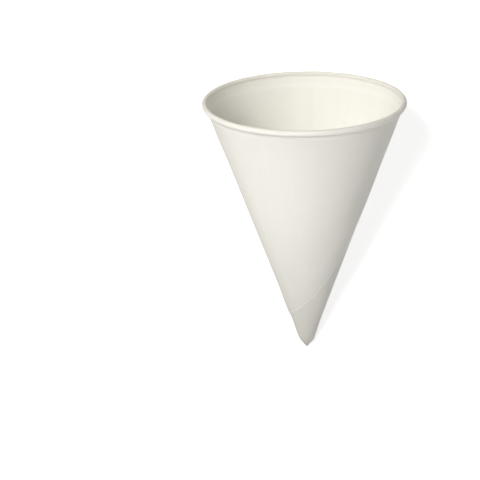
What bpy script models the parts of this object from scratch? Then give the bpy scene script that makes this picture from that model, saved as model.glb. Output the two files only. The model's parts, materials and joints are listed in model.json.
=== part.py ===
"""A rolled-rim cone cup of wound paper, lying on its side where it comes to rest.

The cup is first made upright, with its axis on Z and its tip at the origin, and then laid down with
its mouth towards +Y, on Z = 0 and with the middle of its length at Y = 0. Azimuths are measured round
the axis from the side that ends on top.
"""

import math

import bmesh
import bpy
from mathutils import Matrix, Vector

# Sizes of the cup, in metres: width across the rolled rim, height from tip to rim, paper thickness
RIM_DIAMETER = 0.0725
CUP_HEIGHT = 0.0927
PAPER = 0.0002

# The rim is paper rolled outwards and down into a tube, with its free edge hidden inside.
# It stands out from the wall by the overhang, over a neck that bends the wall slightly inwards.
ROLL_DIAMETER = 0.0019
ROLL_OVERHANG = 0.0013
ROLL_GAP = 0.0001
NECK_RADIUS = 0.001
ROLL_DEGREES = 425
TIGHTENS_FROM_DEGREES = 245
TIGHTENS_TO_DEGREES = 335

# The tip is crimped to a blunt point, which cuts this much off the cone's full height
TIP_CUT = 0.0033
TIP_HEIGHT = 0.0028
TIP_ROUNDING = 0.0005
TIP_SLOPE_DEGREES = 54.7
TIP_FLOOR = 0.0009
TIP_FLOOR_WIDTH = 0.0005

# The glued lap, on the sheet as it lies flat. Its cut edge runs straight past the cone's apex at this
# distance, and its foot is the point of that edge nearest the apex. Past its hidden edge the outer
# layer slopes down onto the inner one. Below its foot the lap narrows, clear of the side it lies on.
LAP_EDGE_FROM_APEX = 0.01645
LAP_WIDTH = 0.010
LAP_FOOT_SHARE = 0.3
LAP_SLOPE_SHARE = 0.15
LAP_SUNK_SHARE = 0.5
SLOPE_SUNK_SHARE = 0.3
LAP_FOOT_AZIMUTH_DEGREES = -137.7

# The side that the cup lies on is pressed flat over this angle each way
FLAT_HALF_ANGLE_DEGREES = 6

# Fineness of the mesh
STEPS_ROUND = 70
WALL_STEPS = 4
NECK_STEPS = 3
ROLL_STEPS = 15
TIP_STEPS = 3
LAP_COLUMNS = 5
LAP_TIP_ROWS = 4
LAP_EDGE_ROWS = 42
MERGE_DISTANCE = 1e-6
SMOOTH_UNDER_DEGREES = 35

PAPER_COLOUR = (0.86, 0.84, 0.79, 1.0)
PAPER_ROUGHNESS = 0.9

# Sizes that follow from those above
roll_radius = ROLL_DIAMETER / 2
roll_centre = Vector((RIM_DIAMETER / 2 - roll_radius, CUP_HEIGHT - roll_radius))
wall_radius = RIM_DIAMETER / 2 - ROLL_OVERHANG
half_angle = math.atan2(wall_radius, roll_centre.y + TIP_CUT)
tip_along = (TIP_HEIGHT + TIP_CUT) / math.cos(half_angle)
up_the_wall = Vector((math.sin(half_angle), math.cos(half_angle)))
out_of_wall = Vector((math.cos(half_angle), -math.sin(half_angle)))


def wall_point(along, out=0.0):
    """The place on the wall's section this far from the cone's apex, and this far outside its outer face."""
    return Vector((0, -TIP_CUT)) + along * up_the_wall + out * out_of_wall


def round_point(centre, radius, angle):
    return centre + radius * Vector((math.cos(angle), math.sin(angle)))


def spread(first, last, steps):
    return [first + (last - first) * step / steps for step in range(steps + 1)]


def neck_and_roll():
    """The rim's two faces, the cup's outer and inner one, from the wall's top to the roll's free edge.

    The wall's middle line bends inwards round the neck's centre, touches the roll's circle, and turns
    outwards round that. The roll tightens on its way, so that its end passes inside its beginning.
    """
    middle_radius = roll_radius - PAPER / 2
    from_apex = roll_centre + Vector((0, TIP_CUT))
    roll_out = from_apex.dot(out_of_wall)
    roll_along = from_apex.dot(up_the_wall)
    between = middle_radius + NECK_RADIUS
    neck_out = -PAPER / 2 - NECK_RADIUS
    neck_along = roll_along - math.sqrt(between**2 - (roll_out - neck_out) ** 2)
    neck_centre = wall_point(neck_along, neck_out)

    outer, inner = [], []
    towards_roll = roll_centre - neck_centre
    meeting = math.atan2(towards_roll.y, towards_roll.x)
    for angle in spread(-half_angle, meeting, NECK_STEPS)[:-1]:
        outer.append(round_point(neck_centre, NECK_RADIUS + PAPER / 2, angle))
        inner.append(round_point(neck_centre, NECK_RADIUS - PAPER / 2, angle))
    for turned in spread(0, ROLL_DEGREES, ROLL_STEPS):
        tightened = (turned - TIGHTENS_FROM_DEGREES) / (TIGHTENS_TO_DEGREES - TIGHTENS_FROM_DEGREES)
        radius = middle_radius - (PAPER + ROLL_GAP) * min(max(tightened, 0), 1)
        angle = meeting + math.pi - math.radians(turned)
        outer.append(round_point(roll_centre, radius - PAPER / 2, angle))
        inner.append(round_point(roll_centre, radius + PAPER / 2, angle))
    return neck_along, outer, inner


def outer_tip():
    """The blunt point's outer face, from the axis up to the wall."""
    centre = Vector((0, TIP_ROUNDING))
    start = math.radians(-90)
    rounded = [round_point(centre, TIP_ROUNDING, angle)
               for angle in spread(start, start + math.radians(TIP_SLOPE_DEGREES), TIP_STEPS)]
    rounded[0].x = 0
    return rounded


def cup_section():
    """Half of the cup's section as one line, from the tip's outside to its inside."""
    wall_top, rim_outer, rim_inner = neck_and_roll()
    floor_along = (TIP_HEIGHT + TIP_FLOOR + TIP_CUT) / math.cos(half_angle)
    outer_wall = [wall_point(along) for along in spread(tip_along, wall_top, WALL_STEPS)[:-1]]
    inner_wall = [wall_point(along, -PAPER) for along in spread(floor_along, wall_top, WALL_STEPS)[:-1]]
    inner_tip = [Vector((0, TIP_FLOOR)), Vector((TIP_FLOOR_WIDTH / 2, TIP_FLOOR))]
    return outer_tip() + outer_wall + rim_outer + (inner_tip + inner_wall + rim_inner)[::-1]


def resting_angle(section):
    """How steeply the axis rises from the tip when the cup lies on its tip and its rim."""
    flattened = math.cos(math.radians(FLAT_HALF_ANGLE_DEGREES))
    low = [point for point in section if point.y < CUP_HEIGHT / 2]
    high = [point for point in section if point.y > CUP_HEIGHT / 2]
    return min(
        max(math.atan2((rim.x - tip.x) * flattened, rim.y - tip.y) for rim in high) for tip in low
    )


def laid_down(angle):
    """Turns the upright cup onto its side, mouth towards +Y and azimuth 0 on top."""
    return Matrix.Rotation(angle - math.radians(90), 4, "X")


def spun_cup(section):
    """The section spun round the axis, with one wide step across the side that it lies on."""
    mesh = bmesh.new()
    first = math.radians(90 - FLAT_HALF_ANGLE_DEGREES)
    turn = Matrix.Rotation(first, 4, "Z")
    verts = [mesh.verts.new(turn @ Vector((point.x, 0, point.y))) for point in section]
    line = verts + [mesh.edges.new(pair) for pair in zip(verts, verts[1:])]
    flat = math.radians(2 * FLAT_HALF_ANGLE_DEGREES)
    for angle, steps in ((flat, 1), (math.tau - flat, STEPS_ROUND)):
        spun = bmesh.ops.spin(mesh, geom=line, axis=(0, 0, 1), cent=(0, 0, 0), angle=angle, steps=steps)
        line = spun["geom_last"]
    bmesh.ops.remove_doubles(mesh, verts=mesh.verts, dist=MERGE_DISTANCE)
    bmesh.ops.recalc_face_normals(mesh, faces=mesh.faces)
    return mesh


def lap_edge_point(foot, row):
    """The point at this row on a long edge of the lap, as the sheet lies flat.

    The apex is the sheet's origin, and +Y runs along the lap towards the rim. From near the tip the edge
    runs straight out to its foot, and from there straight up to the rim.
    """
    if row < LAP_TIP_ROWS:
        start = foot.normalized() * tip_along
        return start.lerp(foot, row / LAP_TIP_ROWS)
    wall_top = neck_and_roll()[0]
    foot_angle = math.atan2(foot.y, foot.x)
    rim_angle = math.acos(foot.x / wall_top)
    angle = foot_angle + (rim_angle - foot_angle) * (row - LAP_TIP_ROWS) / LAP_EDGE_ROWS
    return Vector((foot.x, foot.x * math.tan(angle)))


def rolled(flat, out):
    """A point of the flat sheet wound onto the cone, this far outside the wall's outer face."""
    azimuth = math.radians(LAP_FOOT_AZIMUTH_DEGREES) + math.atan2(flat.y, flat.x) / math.sin(half_angle)
    section = wall_point(flat.length, out)
    return Vector((section.x * math.sin(azimuth), -section.x * math.cos(azimuth), section.y))


def lap_mesh():
    """The second thickness of paper along the lap, sunk into the wall so that the two join."""
    cut_foot = Vector((LAP_EDGE_FROM_APEX, 0))
    hidden_foot = Vector((LAP_EDGE_FROM_APEX + LAP_WIDTH, -LAP_WIDTH * LAP_FOOT_SHARE))
    rows = LAP_TIP_ROWS + LAP_EDGE_ROWS
    mesh = bmesh.new()
    bmesh.ops.create_grid(mesh, x_segments=LAP_COLUMNS, y_segments=rows, size=1)
    sheet = list(mesh.verts)
    bmesh.ops.extrude_face_region(mesh, geom=mesh.faces[:])
    sunk = [vert for vert in mesh.verts if vert not in sheet]
    for verts, cut_out, slope_out in (
        (sheet, PAPER, -PAPER * SLOPE_SUNK_SHARE),
        (sunk, -PAPER * LAP_SUNK_SHARE, -PAPER * LAP_SUNK_SHARE),
    ):
        for vert in verts:
            column = round((vert.co.x + 1) / 2 * LAP_COLUMNS)
            row = round((vert.co.y + 1) / 2 * rows)
            last = column == LAP_COLUMNS
            across = 1 if last else column / (LAP_COLUMNS - 1) * (1 - LAP_SLOPE_SHARE)
            flat = lap_edge_point(cut_foot, row).lerp(lap_edge_point(hidden_foot, row), across)
            vert.co = rolled(flat, slope_out if last or row == 0 else cut_out)
    bmesh.ops.recalc_face_normals(mesh, faces=mesh.faces)
    return mesh


def paper_material():
    material = bpy.data.materials.new("white_paper")
    material.use_nodes = True
    shader = material.node_tree.nodes["Principled BSDF"]
    shader.inputs["Base Color"].default_value = PAPER_COLOUR
    shader.inputs["Roughness"].default_value = PAPER_ROUGHNESS
    shader.inputs["Metallic"].default_value = 0.0
    material.diffuse_color = PAPER_COLOUR
    return material


def as_object(name, mesh, material):
    data = bpy.data.meshes.new(name)
    mesh.to_mesh(data)
    mesh.free()
    data.materials.append(material)
    data.shade_smooth()
    data.set_sharp_from_angle(angle=math.radians(SMOOTH_UNDER_DEGREES))
    made = bpy.data.objects.new(name, data)
    bpy.context.scene.collection.objects.link(made)
    return made


for thing in list(bpy.data.objects):
    bpy.data.objects.remove(thing)

section = cup_section()
angle = resting_angle(section)
paper = paper_material()
cup = as_object("paper_cup", spun_cup(section), paper)
lap = as_object("lap", lap_mesh(), paper)
for made in (cup, lap):
    made.data.transform(laid_down(angle))
depths = [vert.co.y for vert in cup.data.vertices]
under_middle = Vector((0, (min(depths) + max(depths)) / 2, min(vert.co.z for vert in cup.data.vertices)))
for made in (cup, lap):
    made.data.transform(Matrix.Translation(-under_middle))

joined = cup.modifiers.new("glued_lap", "BOOLEAN")
joined.operation = "UNION"
joined.solver = "EXACT"
joined.object = lap
lap.hide_render = True
lap.display_type = "WIRE"
print("cup axis rises", round(math.degrees(angle), 2), "degrees; wall half angle",
      round(math.degrees(half_angle), 2))
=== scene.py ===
import json
import math

import bmesh
import bpy
from mathutils import Matrix, Vector, noise


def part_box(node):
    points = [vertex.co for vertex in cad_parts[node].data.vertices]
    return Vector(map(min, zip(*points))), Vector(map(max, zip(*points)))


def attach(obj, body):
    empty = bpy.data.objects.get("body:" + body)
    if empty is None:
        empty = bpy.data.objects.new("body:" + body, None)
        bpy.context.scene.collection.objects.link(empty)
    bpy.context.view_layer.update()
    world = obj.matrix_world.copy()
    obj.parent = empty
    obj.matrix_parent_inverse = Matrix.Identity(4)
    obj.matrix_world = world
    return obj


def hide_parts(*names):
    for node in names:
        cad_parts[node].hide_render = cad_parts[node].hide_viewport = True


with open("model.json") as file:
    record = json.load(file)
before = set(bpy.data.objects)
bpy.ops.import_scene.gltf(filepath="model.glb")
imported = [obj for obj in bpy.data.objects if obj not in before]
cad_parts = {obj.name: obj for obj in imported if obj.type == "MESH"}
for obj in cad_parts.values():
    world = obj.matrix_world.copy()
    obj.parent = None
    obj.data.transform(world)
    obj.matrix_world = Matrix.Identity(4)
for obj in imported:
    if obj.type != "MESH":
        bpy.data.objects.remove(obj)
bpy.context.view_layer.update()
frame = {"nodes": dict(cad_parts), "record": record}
print("frame loaded:", ", ".join(frame["nodes"]))


# The cup is shaped upright, axis on Z and tip at the origin, and laid on its side at the end.
# Azimuths are degrees round the axis: 0 ends on top, 90 on the right, 180 on the floor.
paperCup = {
    "rimDiameter": 0.0725,
    "height": 0.0927,
    "paper": 0.0002,            # thickness of the sheet
    "rollDiameter": 0.0019,
    "rollOverhang": 0.0013,     # how far the roll stands out from the wall
    "rollGap": 0.0001,
    "neckRadius": 0.001,        # inward bend of the wall under the roll
    "rollTurn": 425,            # degrees from the wall's top to the hidden free edge
    "rollTightens": (280, 345),
    "rollSag": 0.00028,         # the roll's underside hangs this much lower than round
    "rollSags": (180, 360),     # and this part of its turn hangs
    "sagFades": 60,
    "tipCut": 0.0033,           # height that the crimp takes off the full cone
    "tipHeight": 0.0028,
    "tipRounding": 0.0005,
    "tipSlope": 54.7,           # degrees of the rounding, from its lowest point to the crimp
    "tipFloor": 0.0009,         # the tip is solid up to here
    "floorDip": 1.3,            # 1 would make the floor inside a straight cone
    "floorShares": (0.75, 0.5, 0.25, 0.0),
    "flatHalfAngle": 6,         # the side it lies on is pressed flat over this angle each way
    "sharpFrom": 38,            # edges that bend by more than this are drawn sharp
    "columns": 300,
    "firstColumn": 0.1,         # degrees; a narrow one, where the lap's edge starts
    "wallRows": 84,
    "neckRows": 5,
    "rollRows": 44,
    "noseRows": 5,
    "crimpRows": 6,
    "mergeReach": 2e-6,
}

# The glued lap, on the flat sheet. Its cut edge runs straight past the cone's apex at this distance.
lap = {
    "edgeFromApex": 0.01645,
    "width": 0.010,
    "footShare": 0.3,           # below its foot the lap narrows
    "footAzimuth": -137.7,      # where that edge comes nearest to the apex
    "beforeEdge": 0.8,          # past this share of the turn a place counts as just before its start
    "cutWidth": 0.00003,
    "cutReach": 1e-6,
    "slopeWidth": 0.0055,       # outer layer coming down past the hidden edge
    "lift": 0.00006,            # the loose edge curls up this much more than the paper's thickness
    "liftReach": 0.0028,
    "fade": 0.0012,
}

# The sheet's UVs, in metres
sheetMap = {
    "insideAway": 0.3,          # the inner face lies this far off the outer one, both ways
    "insideFrom": 0.25,         # so a place whose two numbers add up to more than this is inside
    "noseStep": 0.0003,         # the crimp's rows on the tip's outside
    "floorReach": 0.0004,       # and the floor on its inside
}

rollRadius = paperCup["rollDiameter"] / 2
rollCentre = Vector((paperCup["rimDiameter"] / 2 - rollRadius, paperCup["height"] - rollRadius))
wallRadius = paperCup["rimDiameter"] / 2 - paperCup["rollOverhang"]
halfAngle = math.atan2(wallRadius, rollCentre.y + paperCup["tipCut"])
upTheWall = Vector((math.sin(halfAngle), math.cos(halfAngle)))
outOfWall = Vector((math.cos(halfAngle), -math.sin(halfAngle)))
tipAlong = (paperCup["tipHeight"] + paperCup["tipCut"]) / math.cos(halfAngle)
sector = math.tau * math.sin(halfAngle)     # the cone's whole turn, as an angle on the flat sheet
firstStep = math.radians(paperCup["firstColumn"]) * math.sin(halfAngle)


def wallPoint(along, out=0.0):
    # on the wall's section, this far from the apex and this far outside its outer face
    return Vector((0, -paperCup["tipCut"])) + along * upTheWall + out * outOfWall


def pointOnCircle(centre, radius, angle):
    return centre + radius * Vector((math.cos(angle), math.sin(angle)))


def spread(first, last, steps):
    return [first + (last - first) * step / steps for step in range(steps + 1)]


def smooth(value):
    value = min(max(value, 0.0), 1.0)
    return value * value * (3 - 2 * value)


def rimSection():
    # the neck and the roll, as the sheet's outer and inner face up to the roll's free edge
    middleRadius = rollRadius - paperCup["paper"] / 2
    half = paperCup["paper"] / 2
    fromApex = rollCentre + Vector((0, paperCup["tipCut"]))
    between = middleRadius + paperCup["neckRadius"]
    neckOut = -half - paperCup["neckRadius"]
    sideways = fromApex.dot(outOfWall) - neckOut
    neckAlong = fromApex.dot(upTheWall) - math.sqrt(between**2 - sideways**2)
    neckCentre = wallPoint(neckAlong, neckOut)
    towardsRoll = rollCentre - neckCentre
    meeting = math.atan2(towardsRoll.y, towardsRoll.x)
    outer, inner = [], []
    for angle in spread(-halfAngle, meeting, paperCup["neckRows"])[:-1]:
        outer.append(pointOnCircle(neckCentre, paperCup["neckRadius"] + half, angle))
        inner.append(pointOnCircle(neckCentre, paperCup["neckRadius"] - half, angle))
    tightFrom, tightTo = paperCup["rollTightens"]
    sagFrom, sagTo = paperCup["rollSags"]
    for turned in spread(0, paperCup["rollTurn"], paperCup["rollRows"]):
        tightened = smooth((turned - tightFrom) / (tightTo - tightFrom))
        radius = middleRadius - (paperCup["paper"] + paperCup["rollGap"]) * tightened
        angle = meeting + math.pi - math.radians(turned)
        sag = paperCup["rollSag"] * max(-math.sin(angle), 0)**2 if sagFrom < turned < sagTo else 0
        sag *= smooth((sagTo - turned) / paperCup["sagFades"])
        outer.append(pointOnCircle(rollCentre, radius - half, angle) - Vector((0, sag)))
        inner.append(pointOnCircle(rollCentre, radius + half, angle) - Vector((0, sag)))
    return neckAlong, outer, inner


def sheetStations():
    # the section as one line from the tip's outside to its inside;
    # each station is a point, its distance from the apex along the sheet, and the face it is on
    neckAlong, rimOuter, rimInner = rimSection()
    centre = Vector((0, paperCup["tipRounding"]))
    start = math.radians(-90)
    nose = [pointOnCircle(centre, paperCup["tipRounding"], angle)
            for angle in spread(start, start + math.radians(paperCup["tipSlope"]), paperCup["noseRows"])]
    nose[0].x = 0
    wallFoot = wallPoint(tipAlong)
    crimp = [nose[-1].lerp(wallFoot, share) for share in spread(0, 1, paperCup["crimpRows"])[1:-1]]
    outside = nose + crimp
    stations = []
    for row, point in enumerate(outside):
        stations.append((point, tipAlong - (len(outside) - row) * sheetMap["noseStep"], "outer"))
    for along in spread(tipAlong, neckAlong, paperCup["wallRows"]):
        stations.append((wallPoint(along), along, "wall"))
    rimAlong = [neckAlong]
    for before, after in zip(rimOuter, rimOuter[1:]):
        rimAlong.append(rimAlong[-1] + (after - before).length)
    stations += [(point, along, "outer") for point, along in zip(rimOuter[1:], rimAlong[1:])]
    stations += [(point, along, "inner") for point, along in zip(rimInner[::-1], rimAlong[::-1])]
    floorAlong = (paperCup["tipHeight"] + paperCup["tipFloor"] + paperCup["tipCut"]) / math.cos(halfAngle)
    for along in spread(neckAlong, floorAlong, paperCup["wallRows"] // 2)[1:]:
        stations.append((wallPoint(along, -paperCup["paper"]), along, "inner"))
    # the floor stays inside the crimp, which narrows faster than the wall
    edge = stations[-1][0]
    for share in paperCup["floorShares"]:
        level = paperCup["tipFloor"] + (edge.y - paperCup["tipFloor"]) * share**paperCup["floorDip"]
        along = floorAlong - sheetMap["floorReach"] * (1 - share)
        stations.append((Vector((edge.x * share, level)), along, "inner"))
    return neckAlong, stations


def flatBlank(stations):
    # the whole skin as one grid, laid out flat round the apex;
    # the outer wall lies at 0 and each row of the rest one metre higher than the last, so that nothing meets
    columns = paperCup["columns"] + 1
    turns = [0.0, firstStep] + spread(0, sector, paperCup["columns"])[1:]
    rows = len(stations) - 1
    blank = bmesh.new()
    bmesh.ops.create_grid(blank, x_segments=columns, y_segments=rows, size=1)
    for vert in blank.verts:
        turn = turns[round((vert.co.x + 1) / 2 * columns)]
        row = round((vert.co.y + 1) / 2 * rows)
        along, face = stations[row][1:]
        vert.co = Vector((along * math.cos(turn), along * math.sin(turn), 0 if face == "wall" else row + 1))
    return blank


def cutWall(blank, across, distance, fromTurn):
    # cuts the outer wall's faces along a straight line that passes the apex at this distance
    parts = set()
    for face in blank.faces:
        reach = [vert.co.dot(across) - distance for vert in face.verts]
        if any(vert.co.z for vert in face.verts) or not min(reach) < 0 < max(reach):
            continue
        if max(math.atan2(vert.co.y, vert.co.x) for vert in face.verts) > fromTurn:
            parts.update([face, *face.verts, *face.edges])
    bmesh.ops.bisect_plane(blank, geom=list(parts), dist=lap["cutReach"],
                           plane_co=across * distance, plane_no=across)


def cutLap(blank):
    # two cuts a hair apart along the lap's edge, so that the outer layer can end in a real step;
    # the last column is cut at the same distances, so that the sheet's two sides meet point by point
    for distance in (lap["edgeFromApex"], lap["edgeFromApex"] + lap["cutWidth"]):
        cutWall(blank, Vector((1, 0, 0)), distance, 0.0)
        cutWall(blank, Vector((math.cos(sector), math.sin(sector), 0)), distance, sector - firstStep / 2)


def mapSheet(blank, stations, neckAlong):
    # UVs are the flat sheet in metres; the pattern breaks where the real sheet does, at the lap's cut edge
    sheetUv = blank.loops.layers.uv.new("sheet")
    rimTurn = math.acos(lap["edgeFromApex"] / neckAlong)
    topTurn = math.radians(-lap["footAzimuth"]) * math.sin(halfAngle)
    for face in blank.faces:
        middle = face.calc_center_median()
        level = round(max(vert.co.z for vert in face.verts))
        inside = level > 0 and stations[level - 1][2] == "inner"
        turn = math.atan2(middle.y, middle.x)
        if level == 0:
            overLap = middle.x > lap["edgeFromApex"] and 0 <= turn < math.radians(90)
        else:
            overLap = not inside and 0 <= turn < rimTurn and level > paperCup["wallRows"]
        overLap = overLap or (turn < firstStep and middle.x < lap["edgeFromApex"] and not inside)
        overLap = overLap or (inside and turn < topTurn)
        for loop in face.loops:
            co = loop.vert.co
            uv = Matrix.Rotation(sector if overLap else 0.0, 2) @ Vector((co.x, co.y))
            loop[sheetUv].uv = uv + Vector((1, 1)) * sheetMap["insideAway"] if inside else uv


def lapHeight(flat, neckAlong):
    # how far the outer layer stands proud of the wall here
    along = flat.length
    turn = math.atan2(flat.y, flat.x)
    if turn > sector * lap["beforeEdge"]:
        turn -= sector
    elif turn > firstStep / 2 and flat.x < lap["edgeFromApex"] + lap["cutWidth"] / 2:
        return 0.0
    fromEdge = along * math.cos(turn) - lap["edgeFromApex"]
    hiddenTurn = math.atan2(-lap["width"] * lap["footShare"], lap["edgeFromApex"] + lap["width"])
    if turn <= firstStep / 2:
        fromEdge = max(fromEdge, lap["width"] * turn / hiddenTurn)
    downSlope = (fromEdge - lap["width"] + lap["slopeWidth"]) / lap["slopeWidth"]
    height = paperCup["paper"] * (1 - smooth(downSlope))
    height += lap["lift"] * math.exp(-max(fromEdge, 0) / lap["liftReach"])
    ends = smooth((neckAlong - along) / lap["fade"]) * smooth((along - tipAlong) / lap["fade"])
    return height * ends


def windUp(blank, stations, neckAlong):
    for vert in blank.verts:
        flat = Vector((vert.co.x, vert.co.y))
        turn = math.atan2(flat.y, flat.x)
        azimuth = math.radians(lap["footAzimuth"]) + turn / math.sin(halfAngle)
        if vert.co.z == 0:
            section = wallPoint(flat.length, lapHeight(flat, neckAlong))
        else:
            section = stations[round(vert.co.z) - 1][0]
        vert.co = Vector((section.x * math.sin(azimuth), -section.x * math.cos(azimuth), section.y))
    bmesh.ops.remove_doubles(blank, verts=blank.verts, dist=paperCup["mergeReach"])


# Small unevenness of the real thing. Lengths and heights are the cup's own, in metres; turns are radians.
wear = {
    "floorSide": (0.2, 0.9),    # it fades towards the side that lies on the floor, between these cosines
    "rimOval": 0.00012,
    "rimOvalTurn": 0.6,
    "wallWaves": 0.00006,
    "wallWaveScale": (1.6, 28),         # round the cup, and along its height
    "rollWaves": 0.00005,
    "rollWaveScale": (7, 3.0),          # round the cup, and the place in the noise
    "rollWavesFrom": (0.95, 0.98),      # as shares of the height
    "flare": 0.00018,           # the wall opens a little towards the roll
    "flareFrom": (0.068, 0.084),
    "ring": 0.00014,            # and a little more in the ring pressed under the roll
    "ringFrom": (0.0862, 0.0884),
    "neckFrom": (0.0888, 0.0902),
    "evenWithin": 0.003,        # radius at which the tip has outgrown these waves
    "crimpWithin": 0.0012,      # radius at which it has outgrown its own
    "tipWidth": 0.11,           # the crimp spreads the tip sideways by this share
    "tipWidthFrom": (0.011, 0.003),
    "tipWidthTo": (0.0014, 0.003),
    "tipFolds": {"deep": 0.00005, "at": 0.0016, "high": 0.0013, "round": 3, "twist": 900, "turn": 0.8},
    # the crimp's right-hand corner, and the small notch under it
    "tipCorner": {"deep": 0.00016, "at": 0.0031, "high": 0.0009, "turn": 1.4, "wide": 0.6},
    "tipNotch": {"deep": -0.00022, "at": 0.0011, "high": 0.0003, "turn": 1.3, "wide": 0.35},
}


def rise(value, ends):
    return smooth((value - ends[0]) / (ends[1] - ends[0]))


def bump(value, middle, width):
    return math.exp(-((value - middle) / width) ** 2)


def unevenness(azimuth, radius, z):
    # how far the real cup's skin stands out from the even one here
    up = z / paperCup["height"]
    around = Vector((math.sin(azimuth), math.cos(azimuth), 0))
    moved = wear["rimOval"] * up**3 * math.cos(2 * azimuth + wear["rimOvalTurn"])
    scale, climb = wear["wallWaveScale"]
    moved += wear["wallWaves"] * noise.noise(scale * around + Vector((0, 0, z * climb)))
    scale, place = wear["rollWaveScale"]
    waves = noise.noise(scale * around + Vector((0, 0, place)))
    moved += wear["rollWaves"] * rise(up, wear["rollWavesFrom"]) * waves
    opened = wear["flare"] * rise(z, wear["flareFrom"]) + wear["ring"] * rise(z, wear["ringFrom"])
    moved += opened * (1 - rise(z, wear["neckFrom"]))
    moved *= smooth(radius / wear["evenWithin"])
    folds = wear["tipFolds"]
    crimped = math.cos(folds["round"] * azimuth + folds["twist"] * z + folds["turn"])
    crimped *= folds["deep"] * bump(z, folds["at"], folds["high"])
    for dent in (wear["tipCorner"], wear["tipNotch"]):
        here = bump(z, dent["at"], dent["high"]) * bump(azimuth, dent["turn"], dent["wide"])
        crimped += dent["deep"] * here
    return moved + crimped * smooth(radius / wear["crimpWithin"])


def shapeByHand(cup):
    pressed = math.cos(math.radians(paperCup["flatHalfAngle"]))
    for vert in cup.verts:
        x, y, z = vert.co
        radius = math.hypot(x, y)
        if radius < 1e-6:
            continue        # the middle of the tip stays
        azimuth = math.atan2(x, -y)
        cosine = math.cos(azimuth - math.pi)
        offFloor = 1 - rise(cosine, wear["floorSide"])
        scale = (radius + unevenness(azimuth, radius, z) * offFloor) / radius
        if cosine > pressed:
            scale *= pressed / cosine
        wider = 1 + wear["tipWidth"] * rise(z, wear["tipWidthFrom"]) * rise(z, wear["tipWidthTo"])
        vert.co = Vector((x * scale * wider, y * scale, z))


def buildPaperCup():
    neckAlong, stations = sheetStations()
    cup = flatBlank(stations)
    cutLap(cup)
    mapSheet(cup, stations, neckAlong)
    windUp(cup, stations, neckAlong)
    shapeByHand(cup)
    bmesh.ops.recalc_face_normals(cup, faces=cup.faces)
    axis = Vector(frame["record"]["mounts"][0]["axis"])
    angle = math.atan2(axis.z, axis.y)
    bmesh.ops.transform(cup, matrix=Matrix.Rotation(angle - math.radians(90), 4, "X"), verts=cup.verts)
    low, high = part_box("paper_cup")
    ends = [vert.co.y for vert in cup.verts]
    forward = (low.y + high.y) / 2 - (min(ends) + max(ends)) / 2
    down = low.z - min(vert.co.z for vert in cup.verts)
    bmesh.ops.translate(cup, vec=Vector((0, forward, down)), verts=cup.verts)
    data = bpy.data.meshes.new("woundPaperCup")
    cup.to_mesh(data)
    cup.free()
    data.shade_smooth()
    data.set_sharp_from_angle(angle=math.radians(paperCup["sharpFrom"]))
    made = bpy.data.objects.new("woundPaperCup", data)
    bpy.context.scene.collection.objects.link(made)
    print("cup wound:", len(data.polygons), "faces, axis rises", round(math.degrees(angle), 2), "degrees")
    return made


cup = buildPaperCup()
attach(cup, "root")
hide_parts("paper_cup")


class Signal:
    # one output of a node that can be used in sums
    def __init__(self, finish, socket):
        self.finish = finish
        self.socket = socket

    def maths(self, operation, first, second):
        return self.finish.node("ShaderNodeMath", {"operation": operation}, {0: first, 1: second})

    def __add__(self, other):
        return self.maths("ADD", self, other)

    __radd__ = __add__

    def __sub__(self, other):
        return self.maths("SUBTRACT", self, other)

    def __rsub__(self, other):
        return self.maths("SUBTRACT", other, self)

    def __mul__(self, other):
        return self.maths("MULTIPLY", self, other)

    __rmul__ = __mul__

    def absolute(self):
        return self.maths("ABSOLUTE", self, 0.0)

    def above(self, limit):
        return self.maths("GREATER_THAN", self, limit)


class Finish:
    # a node tree, of a new material or of one that is given
    def __init__(self, name, tree=None):
        if tree is None:
            self.material = bpy.data.materials.new(name)
            self.material.use_nodes = True
            tree = self.material.node_tree
            tree.nodes.clear()
        self.tree = tree

    def node(self, kind, settings=None, inputs=None, output=0):
        made = self.tree.nodes.new(kind)
        for name, value in (settings or {}).items():
            setattr(made, name, value)
        for name, value in (inputs or {}).items():
            if isinstance(value, Signal):
                self.tree.links.new(value.socket, made.inputs[name])
            else:
                made.inputs[name].default_value = value
        return Signal(self, made.outputs[output]) if made.outputs else made

    def fade(self, value, ends, share=1.0):
        # from 0 at the first end to this share at the second, and level outside them
        return self.node("ShaderNodeMapRange", {"interpolation_type": "SMOOTHSTEP"}, {
            "Value": value, "From Min": ends[0], "From Max": ends[1], "To Max": share})


paperFinish = {
    "colour": (0.87, 0.85, 0.785, 1),
    "shade": (0.80, 0.775, 0.70, 1),
    "shaded": 0.30,             # the plain sheet is this far from the first colour to the second
    # the painted light colour, for the highlight along the lap's cut edge and the light in the groove
    "paintedLight": (0.97, 0.945, 0.89, 1),
    "roughness": (0.86, 0.25),          # and how much it goes with the mottling
    "specular": 0.25,
    "grainTurn": 54,            # direction of the paper's grain on the flat sheet, degrees
    "streakSize": (0.020, 0.0011, 1),   # metres, along and across the grain
    "cloudScale": 140.0,
    "flockScale": 1100.0,
    "rubbedScale": (36.0, 40.0, 3.0),   # round the cone, along it, and from face to face
    "fibreSize": (0.0012, 0.00012, 1),
    "fibreTurns": (0.25, -0.6),         # two layers of fibres, turned from the grain, radians
    "fibreDepth": 0.000012,
    "bump": 0.6,
}
# how much each pattern shows in the colour, and in the relief
mottling = {"streaks": 0.30, "rubbed": 0.42, "clouds": 0.30, "flocks": 0.40}
relief = {"fibres": 0.5, "flocks": 0.6, "clouds": 1.5}
# along the lap's cut edge: a painted highlight line, and a painted highlight on the loose paper behind it
edgeLinePaintedHighlight = {"away": 0.00028, "width": 0.00050, "uneven": 0.0002, "foot": -0.0002, "broken": (1.8, -0.1)}
behindEdgePaintedHighlight = {"ends": (0.0045, 0.0), "edge": -0.0002, "foot": (-0.0005, 0.005), "share": 0.30}
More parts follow.
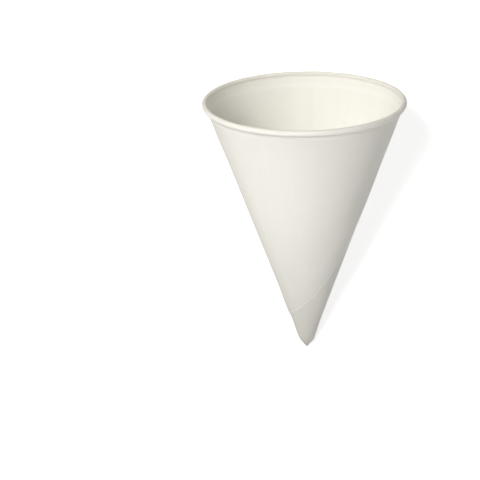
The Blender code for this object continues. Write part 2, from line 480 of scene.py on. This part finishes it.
# places by their distance from the cone's apex, on the flat sheet
# painted shade, darker towards the tip
tipPaintedShade = {"ends": (0.030, 0.010), "uneven": 0.004, "share": 0.45}
# painted shade on the neck and roll, toning down the roll's highlight
rollPaintedShade = {"ends": (0.1004, 0.1009), "uneven": 0.0004, "share": 0.65}
# painted highlight ring inside, under the roll
ringPaintedHighlight = {"middle": 0.0974, "ends": (0.0011, 0.00044), "uneven": 0.0012, "share": 0.35}
# painted light in the groove under the roll, lightening its shade: from the wall, and from the roll's
# underside
groovePaintedLight = {"wall": (0.0988, 0.1001), "roll": (0.1034, 0.1044), "share": 1.0}


def paperMaterial():
    finish = Finish("woundWhitePaper")
    sheet = finish.node("ShaderNodeUVMap", {"uv_map": "sheet"})
    grain = math.radians(paperFinish["grainTurn"])

    def pattern(place, scale, detail):
        return finish.node("ShaderNodeTexNoise", {}, {"Vector": place, "Scale": scale, "Detail": detail})

    def stretched(turn, size):
        return finish.node("ShaderNodeMapping", {"vector_type": "TEXTURE"}, {
            "Vector": sheet, "Rotation": (0, 0, grain + turn), "Scale": size})

    streaks = pattern(stretched(0, paperFinish["streakSize"]), 1.0, 3.0)
    clouds = pattern(sheet, paperFinish["cloudScale"], 3.0)
    flocks = pattern(sheet, paperFinish["flockScale"], 4.0)

    # rubbed lines from the rim to the tip, as the mandrel leaves them; each face has its own polar places
    acrossSheet = finish.node("ShaderNodeSeparateXYZ", {}, {"Vector": sheet}, output="X")
    upSheet = Signal(finish, acrossSheet.socket.node.outputs["Y"])
    innerFace = (acrossSheet + upSheet).above(sheetMap["insideFrom"])
    acrossSheet = acrossSheet - sheetMap["insideAway"] * innerFace
    upSheet = upSheet - sheetMap["insideAway"] * innerFace
    fromApex = upSheet.maths("SQRT", acrossSheet * acrossSheet + upSheet * upSheet, 0.0)
    direction = upSheet.maths("ARCTAN2", upSheet, acrossSheet)
    turnScale, alongScale, faceStep = paperFinish["rubbedScale"]
    polar = finish.node("ShaderNodeCombineXYZ", {}, {
        "X": direction * turnScale, "Y": fromApex * alongScale, "Z": innerFace * faceStep})
    rubbed = pattern(polar, 1.0, 3.0)
    uneven = mottling["streaks"] * (streaks - 0.5) + mottling["rubbed"] * (rubbed - 0.5)
    uneven = uneven + mottling["clouds"] * (clouds - 0.5) + mottling["flocks"] * (flocks - 0.5)

    # a painted highlight: a lighter ring inside, under the roll
    fromRing = fromApex + ringPaintedHighlight["uneven"] * (clouds - 0.5) - ringPaintedHighlight["middle"]
    ring = finish.fade(fromRing.absolute(), ringPaintedHighlight["ends"], ringPaintedHighlight["share"])
    # the paper's own mottling, with the painted highlight ring and the painted shade of tip and roll added
    # to it
    mottlingPaintedLightAndShade = uneven - innerFace * ring

    # painted shade: the tip darker towards its end, and the neck and roll darker, which tones down the
    # roll's highlight
    for place in (tipPaintedShade, rollPaintedShade):
        mottlingPaintedLightAndShade = mottlingPaintedLightAndShade + finish.fade(fromApex + place["uneven"] * (clouds - 0.5), place["ends"], place["share"])

    # painted light in the groove: there the wall shows its outer face and the roll its inner one
    groove = (1.0 - innerFace) * finish.fade(fromApex, groovePaintedLight["wall"], groovePaintedLight["share"])
    groove = groove + innerFace * finish.fade(fromApex, groovePaintedLight["roll"], groovePaintedLight["share"])

    # the lap's cut edge is a straight line on the sheet: distance from it, and along it
    alongX, alongY = -math.sin(sector), math.cos(sector)
    away = finish.node("ShaderNodeVectorMath", {"operation": "DOT_PRODUCT"}, {
        0: sheet, 1: (alongY, -alongX, 0)}, output=1)
    fromEdge = away - lap["edgeFromApex"]
    alongEdge = finish.node("ShaderNodeVectorMath", {"operation": "DOT_PRODUCT"}, {
        0: sheet, 1: (alongX, alongY, 0)}, output=1)
    # painted highlight on the loose paper just behind the cut edge
    behind = finish.fade(fromEdge, behindEdgePaintedHighlight["ends"], behindEdgePaintedHighlight["share"])
    behind = behind * fromEdge.above(behindEdgePaintedHighlight["edge"]) * finish.fade(alongEdge, behindEdgePaintedHighlight["foot"])
    colour = finish.node("ShaderNodeMix", {"data_type": "RGBA"}, {
        "Factor": paperFinish["shaded"] + mottlingPaintedLightAndShade - behind - groove,
        6: paperFinish["colour"], 7: paperFinish["shade"]}, output=2)

    # painted highlight line along the cut edge
    fromLine = fromEdge + edgeLinePaintedHighlight["uneven"] * (flocks - 0.5) - edgeLinePaintedHighlight["away"]
    line = finish.fade(fromLine.absolute(), (edgeLinePaintedHighlight["width"], 0.0))
    contrast, offset = edgeLinePaintedHighlight["broken"]
    line = line * alongEdge.above(edgeLinePaintedHighlight["foot"]) * (contrast * clouds + offset)
    colour = finish.node("ShaderNodeMix", {"data_type": "RGBA"}, {
        "Factor": line + groove, 6: colour, 7: paperFinish["paintedLight"]}, output=2)

    along, across = paperFinish["fibreTurns"]
    fibres = pattern(stretched(along, paperFinish["fibreSize"]), 1.0, 2.0)
    fibres = fibres + pattern(stretched(across, paperFinish["fibreSize"]), 1.0, 2.0)
    height = relief["fibres"] * fibres + relief["flocks"] * flocks + relief["clouds"] * clouds
    normal = finish.node("ShaderNodeBump", {}, {
        "Strength": paperFinish["bump"], "Distance": paperFinish["fibreDepth"], "Height": height})
    roughness, varies = paperFinish["roughness"]
    shader = finish.node("ShaderNodeBsdfPrincipled", {}, {
        "Base Color": colour, "Roughness": roughness + varies * uneven,
        "Metallic": 0.0, "Specular IOR Level": paperFinish["specular"], "Normal": normal})
    finish.node("ShaderNodeOutputMaterial", {}, {"Surface": shader})
    return finish.material


cup.data.materials.append(paperMaterial())
print("paper finished")


floor = {
    "size": 12.0,
    "bounce": (0.5, 0.5, 0.5, 1),       # what it throws back onto the cup
    "seen": (0.9, 0.9, 0.9, 1),
    "glow": (0.58, 0.85),               # lifts what is seen of it to white: near the cup, and further off
    "reach": (0.04, 0.12),
}


def seenRay(finish):
    # 1 where the camera, a reflection or a refraction looks, 0 where the surface is lit from
    path = finish.node("ShaderNodeLightPath")
    names = path.socket.node.outputs
    rays = Signal(finish, names["Is Camera Ray"]) + Signal(finish, names["Is Glossy Ray"])
    return rays + Signal(finish, names["Is Transmission Ray"])


def buildFloor():
    data = bpy.data.meshes.new("paleFloor")
    plane = bmesh.new()
    bmesh.ops.create_grid(plane, x_segments=1, y_segments=1, size=floor["size"] / 2)
    plane.to_mesh(data)
    plane.free()
    made = bpy.data.objects.new("paleFloor", data)
    bpy.context.scene.collection.objects.link(made)
    finish = Finish("paleFloor")
    lit = finish.node("ShaderNodeBsdfDiffuse", {}, {"Color": floor["seen"]})
    place = finish.node("ShaderNodeTexCoord", output="Object")
    away = finish.node("ShaderNodeVectorMath", {"operation": "LENGTH"}, {0: place}, output=1)
    further = finish.fade(away, floor["reach"])
    nearGlow = finish.node("ShaderNodeEmission", {}, {"Strength": floor["glow"][0]})
    farGlow = finish.node("ShaderNodeEmission", {}, {"Strength": floor["glow"][1]})
    glow = finish.node("ShaderNodeMixShader", {}, {0: further, 1: nearGlow, 2: farGlow})
    white = finish.node("ShaderNodeAddShader", {}, {0: lit, 1: glow})
    matt = finish.node("ShaderNodeBsdfDiffuse", {}, {"Color": floor["bounce"]})
    both = finish.node("ShaderNodeMixShader", {}, {0: seenRay(finish), 1: matt, 2: white})
    finish.node("ShaderNodeOutputMaterial", {}, {"Surface": both})
    data.materials.append(finish.material)


buildFloor()

view = {
    "elevation": 86.4,
    "distance": 1.3,
    "rimMiddle": (0, 0.036176, 0.03375),
    "pixelsPerMetre": 2837,     # at the rim's middle
    "rimPixel": (304.3, 102.75),
    "roll": -0.6,
    "frame": 480,
    "sensor": 36,
    "clip": (0.01, 50),
}


def buildCamera():
    data = bpy.data.cameras.new("camera")
    made = bpy.data.objects.new("camera", data)
    bpy.context.scene.collection.objects.link(made)
    rimMiddle = Vector(view["rimMiddle"])
    tilt = math.radians(view["elevation"])
    outwards = Vector((0, -math.cos(tilt), math.sin(tilt)))
    place = rimMiddle + view["distance"] * outwards
    roll = Matrix.Rotation(math.radians(view["roll"]), 3, outwards)
    right = roll @ Vector((1, 0, 0))
    up = outwards.cross(right)
    half = view["frame"] / 2
    x, y = view["rimPixel"]
    # the camera aims beside the rim's middle, so that this lands on its place in the picture
    target = rimMiddle + ((half - x) * right + (y - half) * up) / view["pixelsPerMetre"]
    backwards = (place - target).normalized()
    right = (right - right.dot(backwards) * backwards).normalized()
    turned = Matrix((right, backwards.cross(right), backwards)).transposed()
    made.matrix_world = Matrix.Translation(place) @ turned.to_4x4()
    data.sensor_width = view["sensor"]
    data.lens = view["pixelsPerMetre"] * view["distance"] / view["frame"] * view["sensor"]
    data.clip_start, data.clip_end = view["clip"]
    bpy.context.scene.camera = made


buildCamera()

# Each lamp stands this way from the cup's middle and this far off
lamps = {
    "keySpot": {"way": (-0.35, 0.25, 0.9), "away": 0.5, "aim": "mouth",
                "power": 16.3, "cone": 25.8, "radius": 0.14},
    "mouthSpot": {"way": (-0.6, 0.5, 0.62), "away": 0.5, "aim": "mouth",
                  "power": 3.9, "cone": 26, "radius": 0.06},
    "leftSpot": {"way": (-0.6, -0.5, 0.6), "away": 0.5, "aim": "wall",
                 "power": 5.2, "cone": 14.5, "radius": 0.06},
    "frontSpot": {"way": (0.0, -0.9, 0.43), "away": 0.5, "aim": "rim",
                  "power": 1.85, "cone": 22, "radius": 0.06},
    "rightBox": {"way": (0.9, 0.0, 0.43), "away": 0.7, "aim": "middle",
                 "power": 1.2, "size": 0.35},
}
aims = {
    "mouth": (0, 0.035, 0.03),
    "rim": (0, 0.03, 0.055),
    "wall": (0, 0.012, 0.045),
    "middle": (0, 0, 0.03),
}
room = {"ambient": 0.18, "seen": 1.0}


def buildLights():
    for name, lamp in lamps.items():
        data = bpy.data.lights.new(name, "SPOT" if "cone" in lamp else "AREA")
        data.energy = lamp["power"]
        if "cone" in lamp:
            data.spot_size = math.radians(lamp["cone"])
            data.spot_blend = 1.0
            data.shadow_soft_size = lamp["radius"]
        else:
            data.size = lamp["size"]
        made = bpy.data.objects.new(name, data)
        bpy.context.scene.collection.objects.link(made)
        made.location = Vector(aims["middle"]) + Vector(lamp["way"]).normalized() * lamp["away"]
        backwards = made.location - Vector(aims[lamp["aim"]])
        made.rotation_euler = backwards.to_track_quat("Z", "Y").to_euler()
        made.visible_camera = False
    world = bpy.data.worlds.new("paleRoom")
    world.use_nodes = True
    bpy.context.scene.world = world
    world.node_tree.nodes.clear()
    finish = Finish(None, world.node_tree)
    ambient = finish.node("ShaderNodeBackground", {}, {"Color": (1, 1, 1, 1), "Strength": room["ambient"]})
    white = finish.node("ShaderNodeBackground", {}, {"Color": (1, 1, 1, 1), "Strength": room["seen"]})
    both = finish.node("ShaderNodeMixShader", {}, {0: seenRay(finish), 1: ambient, 2: white})
    finish.node("ShaderNodeOutputWorld", {}, {"Surface": both})


buildLights()
bpy.context.scene.view_settings.view_transform = "Standard"
print("stage, camera and lights set")
